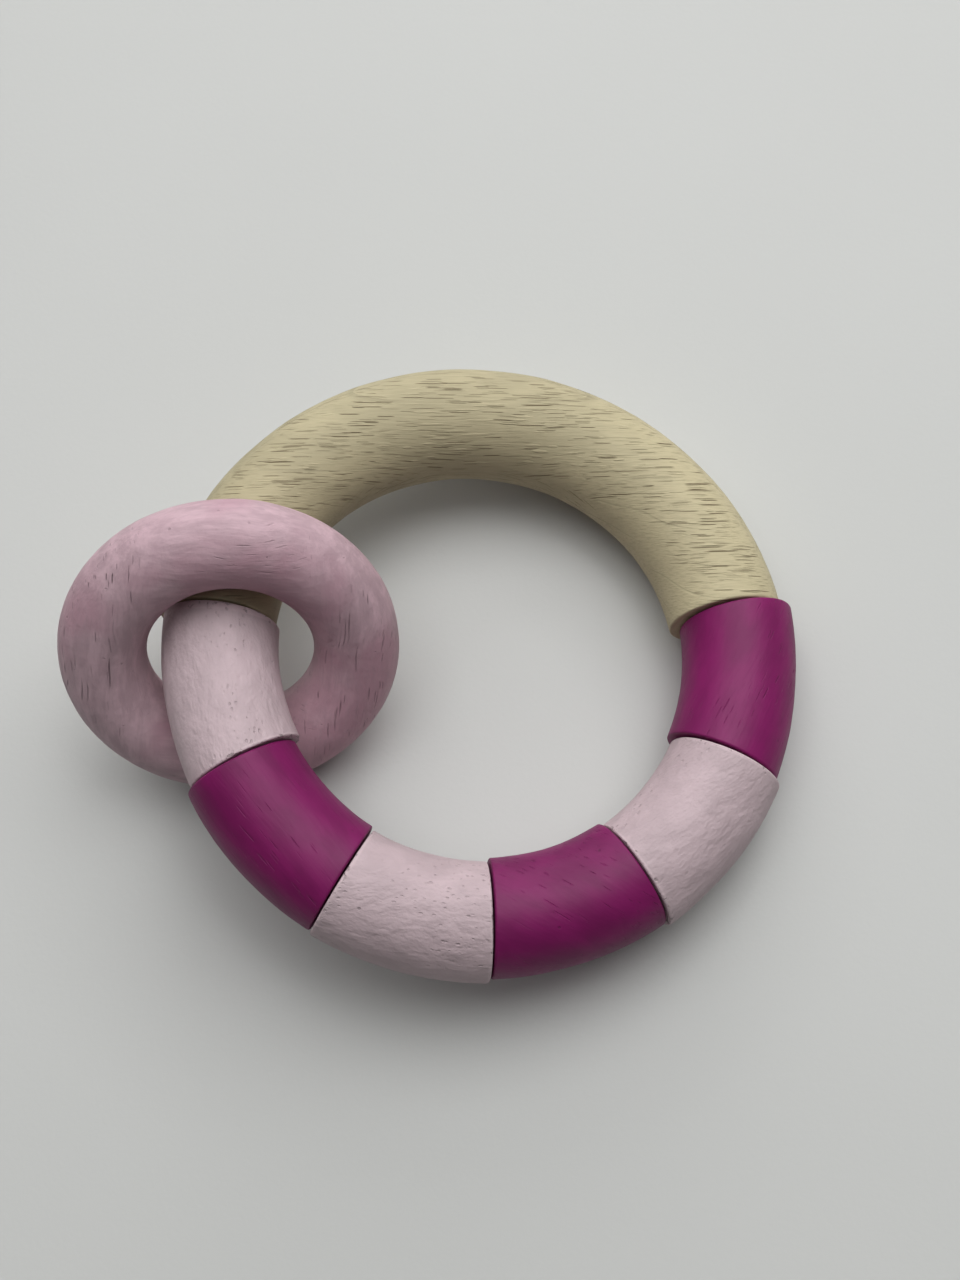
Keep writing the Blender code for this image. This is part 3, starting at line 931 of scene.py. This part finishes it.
def cord_rows(points, shape):
    """Rows of a braided cord along these points, carried along without twisting."""
    length = CORD_STEP * (len(points) - 1)
    tangent = (points[1] - points[0]).normalized()
    across = tangent.orthogonal().normalized()
    rows = []
    for number, point in enumerate(points):
        ahead = points[min(number + 1, len(points) - 1)] - points[max(number - 1, 0)]
        turn = tangent.rotation_difference(ahead.normalized())
        tangent, across = ahead.normalized(), turn @ across
        beside = tangent.cross(across)
        along = CORD_STEP * number
        radius = shape.cord_radius * knot_swell(min(along, length - along), shape)
        wind = tau * along / STRAND_PITCH
        row = []
        for side in range(CORD_SIDES):
            angle = tau * side / CORD_SIDES
            braid = cos(STRANDS * (angle + wind / STRANDS)) * cos(STRANDS * (angle - wind / STRANDS))
            reach = radius * (1 - STRAND_RELIEF + STRAND_RELIEF * braid)
            row.append(point + (across * cos(angle) + beside * sin(angle)) * reach)
        rows.append(row)
    return rows


def nearest(points, target):
    """The number of the point nearest to a target."""
    return min(range(len(points)), key=lambda number: (points[number] - target).length)


# Operators

def settings_of(context):
    """Shape, colours and studio, as the user has set them."""
    scene = context.scene
    return scene.teether_shape, scene.teether_colours, scene.teether_studio


class TEETHER_OT_half_ring(bpy.types.Operator):
    """Make the bare beech half ring with its plug seats"""

    bl_idname = "teether.half_ring"
    bl_label = "Half ring"

    def execute(self, context):
        shape, colours, _ = settings_of(context)
        mesh = half_ring_mesh("bare_half_ring", HALF_RING, shape)
        piece = add_piece(mesh, beech_finish(colours), "natural_beech", ["beech_half_ring"])
        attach(piece, "half_ring")
        return {"FINISHED"}


class TEETHER_OT_segments(bpy.types.Operator):
    """Make the painted segments, each with its own grain, and its paint made lighter or darker as painted light
    and shade
    """

    bl_idname = "teether.segments"
    bl_label = "Painted segments"

    # Turn of each segment's grain in degrees, and a factor on its paint colour that is painted light and shade:
    # segments 1 and 6 painted lighter, 6 against the loose ring's shadow, and segments 2 to 5 painted darker as
    # painted shade
    COATS = {
        1: (20.0, 1.05), 2: (15.0, 0.95), 3: (46.0, 0.94),
        4: (-8.0, 0.95), 5: (3.0, 0.97), 6: (2.0, 1.07),
    }

    def execute(self, context):
        shape, colours, _ = settings_of(context)
        for number, rod in SEGMENTS.items():
            node, slot = segment_node(number), segment_slot(number)
            mesh = segment_mesh(f"painted_segment_{number}", number, shape)
            make_finish = magenta_finish if slot == "magenta_paint" else pale_finish
            # A grain turn, and a factor of painted light and shade for the paint colour
            grain_turn, painted_light = self.COATS[number]
            material = make_finish(colours, rod, number, radians(grain_turn), painted_light)
            piece = add_piece(mesh, material, slot, [node])
            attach(piece, f"segment_{number}")
        return {"FINISHED"}


class TEETHER_OT_loose_ring(bpy.types.Operator):
    """Make the small ring that slides and knocks on the main ring"""

    bl_idname = "teether.loose_ring"
    bl_label = "Loose ring"

    def execute(self, context):
        shape, colours, _ = settings_of(context)
        mesh = loose_ring_mesh("rattle_ring", LOOSE_RING, shape)
        piece = add_piece(mesh, dusty_finish(colours), "dusty_pink_paint", ["loose_ring"])
        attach(piece, "loose_ring")
        return {"FINISHED"}


class TEETHER_OT_elastic(bpy.types.Operator):
    """Make the braided elastic in stretches, two along each segment and one into each end of the half ring, and
    finish the anchor plugs
    """

    bl_idname = "teether.elastic"
    bl_label = "Elastic and plugs"

    def execute(self, context):
        shape, colours, _ = settings_of(context)
        joints = cord_joints()
        knot_back = shape.plug_seat_depth + KNOT_GAP + shape.knot_length
        corners = [into_half_ring(-1, knot_back), into_half_ring(-1, shape.plug_recess), *joints]
        corners += [into_half_ring(1, shape.plug_recess), into_half_ring(1, knot_back)]
        points = evenly(rounded(corners, shape.bend_reach), CORD_STEP)
        rows = cord_rows(points, shape)
        material = elastic_finish(colours)
        cuts = [nearest(points, joint) for joint in joints]

        def stretch(name, start, end):
            mesh = loft(name, rows[start:end + 1], looped=False)
            return add_piece(mesh, material, "white_elastic", ["elastic_cord"])

        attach(stretch("elastic_right_knot", 0, cuts[0]), "half_ring")
        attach(stretch("elastic_left_knot", cuts[-1], len(points) - 1), "half_ring")
        for number in SEGMENT_NUMBERS:
            start, end = cuts[number - 1], cuts[number]
            middle = (start + end) // 2
            for side, fixed, first, last in (("entry", start, start, middle), ("exit", end, middle, end)):
                piece = stretch(f"elastic_{number}_{side}", first, last)
                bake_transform(piece)
        dowel = dowel_finish(colours)
        for side in ("left", "right"):
            for slot in frame["nodes"][side + "_anchor_plug"].material_slots:
                slot.material = dowel
        return {"FINISHED"}


class TEETHER_OT_studio(bpy.types.Operator):
    """Set the table, the light and the camera"""

    bl_idname = "teether.studio"
    bl_label = "Studio"

    TABLE_RADIUS = 0.8
    TABLE_SIDES = 128
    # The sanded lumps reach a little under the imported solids
    TABLE_DROP = 0.1 * MM
    # Bearing from straight behind, clockwise, and height, in degrees; then watts
    LAMPS = {
        "low_window": (0.0, 20.0, 5.3),
        "high_window": (0.0, 70.0, 4.6),
        "overhead": (0.0, 90.0, 2.2),
        "right_window": (45.0, 55.0, 6.9),
        "left_window": (-45.0, 55.0, 1.9),
    }
    LAMP_DISTANCE = 1.2
    LAMP_SIZE = 0.9
    SENSOR_HEIGHT = 24.0
    NEAREST_SEEN = 1.0 * MM

    def execute(self, context):
        _, colours, studio = settings_of(context)
        self.add_table(context, colours)
        self.add_light(context, studio)
        self.add_camera(context, studio)
        return {"FINISHED"}

    def add_table(self, context, colours):
        """A round table top just under the teether."""
        shape = bmesh.new()
        bmesh.ops.create_circle(shape, cap_ends=True, segments=self.TABLE_SIDES, radius=self.TABLE_RADIUS)
        mesh = bpy.data.meshes.new("table")
        shape.to_mesh(mesh)
        shape.free()
        mesh.materials.append(table_finish(colours))
        table = bpy.data.objects.new("table", mesh)
        table.location.z = CAD_BOX[0].z - self.TABLE_DROP
        context.scene.collection.objects.link(table)

    def add_light(self, context, studio):
        """Soft lamps, and a plain wall that only the camera sees, so that it adds no light."""
        for name, (bearing, height, power) in self.LAMPS.items():
            lamp = bpy.data.lights.new(name, "AREA")
            lamp.size = self.LAMP_SIZE
            lamp.energy = power * studio.light_level
            stand = bpy.data.objects.new(name, lamp)
            bearing_turn = Matrix.Rotation(radians(-bearing), 4, "Z")
            tilt = Matrix.Rotation(radians(height - 90.0), 4, "X")
            stand.matrix_world = bearing_turn @ tilt @ Matrix.Translation((0.0, 0.0, self.LAMP_DISTANCE))
            context.scene.collection.objects.link(stand)
        context.scene.world = bpy.data.worlds.new("room")
        room = Nodes(context.scene.world, "Background", {"Color": (1.0, 1.0, 1.0, 1.0)})
        seen = room.signal("ShaderNodeLightPath", {}, {}, output="Is Camera Ray")
        room.feed("Strength", studio.ambient + seen * (studio.backdrop - studio.ambient))
        context.scene.view_settings.view_transform = "Standard"

    def add_camera(self, context, studio):
        """A camera that looks at the aim from the set heading and elevation."""
        flat = cos(studio.elevation)
        view = Vector((-sin(studio.heading) * flat, cos(studio.heading) * flat, -sin(studio.elevation)))
        level = Vector((cos(studio.heading), sin(studio.heading), 0.0))
        upright = level.cross(view)
        right = level * cos(studio.roll) + upright * sin(studio.roll)
        lens = bpy.data.cameras.new("camera")
        lens.sensor_fit = "VERTICAL"
        lens.sensor_height = self.SENSOR_HEIGHT
        lens.lens = studio.lens
        lens.clip_start = self.NEAREST_SEEN
        camera = bpy.data.objects.new("camera", lens)
        stand = Vector(studio.aim) - view * studio.distance
        camera.matrix_world = placed(stand, right, right.cross(view), -view)
        context.scene.collection.objects.link(camera)
        context.scene.camera = camera


class TEETHER_PT_pieces(bpy.types.Panel):
    """The teether's pieces and their settings"""

    bl_idname = "TEETHER_PT_pieces"
    bl_label = "Wooden Rattle Teether"
    bl_space_type = "VIEW_3D"
    bl_region_type = "UI"
    bl_category = "Teether"

    def draw(self, context):
        for operator in OPERATORS:
            self.layout.operator(operator.bl_idname)
        for group in settings_of(context):
            column = self.layout.column(heading=type(group).__name__)
            for name in type(group).__annotations__:
                column.prop(group, name)


GROUPS = {"teether_shape": TeetherShape, "teether_colours": TeetherColours, "teether_studio": TeetherStudio}
OPERATORS = (
    TEETHER_OT_half_ring, TEETHER_OT_segments, TEETHER_OT_loose_ring, TEETHER_OT_elastic, TEETHER_OT_studio,
)


def register():
    for name, group in GROUPS.items():
        bpy.utils.register_class(group)
        setattr(bpy.types.Scene, name, PointerProperty(type=group))
    for operator in OPERATORS:
        bpy.utils.register_class(operator)
    bpy.utils.register_class(TEETHER_PT_pieces)


def unregister():
    bpy.utils.unregister_class(TEETHER_PT_pieces)
    for operator in reversed(OPERATORS):
        bpy.utils.unregister_class(operator)
    for name, group in reversed(GROUPS.items()):
        delattr(bpy.types.Scene, name)
        bpy.utils.unregister_class(group)


def main():
    """Makes every piece and the studio."""
    register()
    bpy.ops.teether.half_ring()
    bpy.ops.teether.segments()
    bpy.ops.teether.loose_ring()
    bpy.ops.teether.elastic()
    bpy.ops.teether.studio()


if __name__ == "__main__":
    main()
